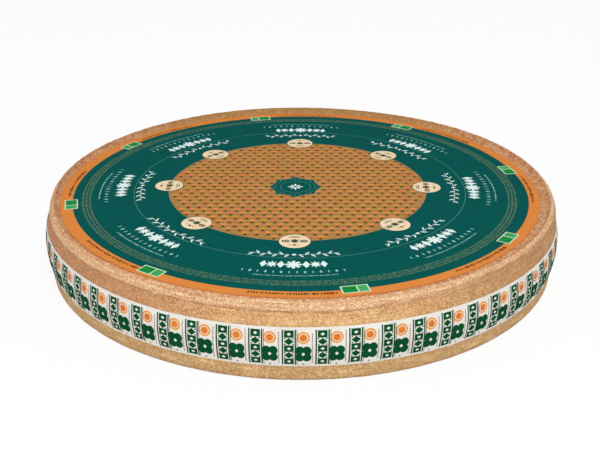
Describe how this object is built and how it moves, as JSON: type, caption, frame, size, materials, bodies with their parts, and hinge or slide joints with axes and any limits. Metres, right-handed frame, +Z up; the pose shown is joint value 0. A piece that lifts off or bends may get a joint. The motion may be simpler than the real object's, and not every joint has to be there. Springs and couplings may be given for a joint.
{
  "type": "comte cheese wheel",
  "caption": "Whole round wheel of hard mountain cheese with a pressed natural rind, a round printed paper label on top and a printed paper band round its side.",
  "frame": {"origin": "centre of the flat underside that the wheel stands on", "axes": "+Z up along the wheel's axis, -Y towards the side that faces the viewer, +X to the viewer's right"},
  "size_m": [0.6895, 0.692, 0.1011],
  "materials": {
    "rind": "matte",
    "label_paper": "matte",
    "band_paper": "matte"
  },
  "bodies": {
    "root": {"wheel": "rind", "top_label": "label_paper", "side_band": "band_paper"}
  },
  "joints": []
}
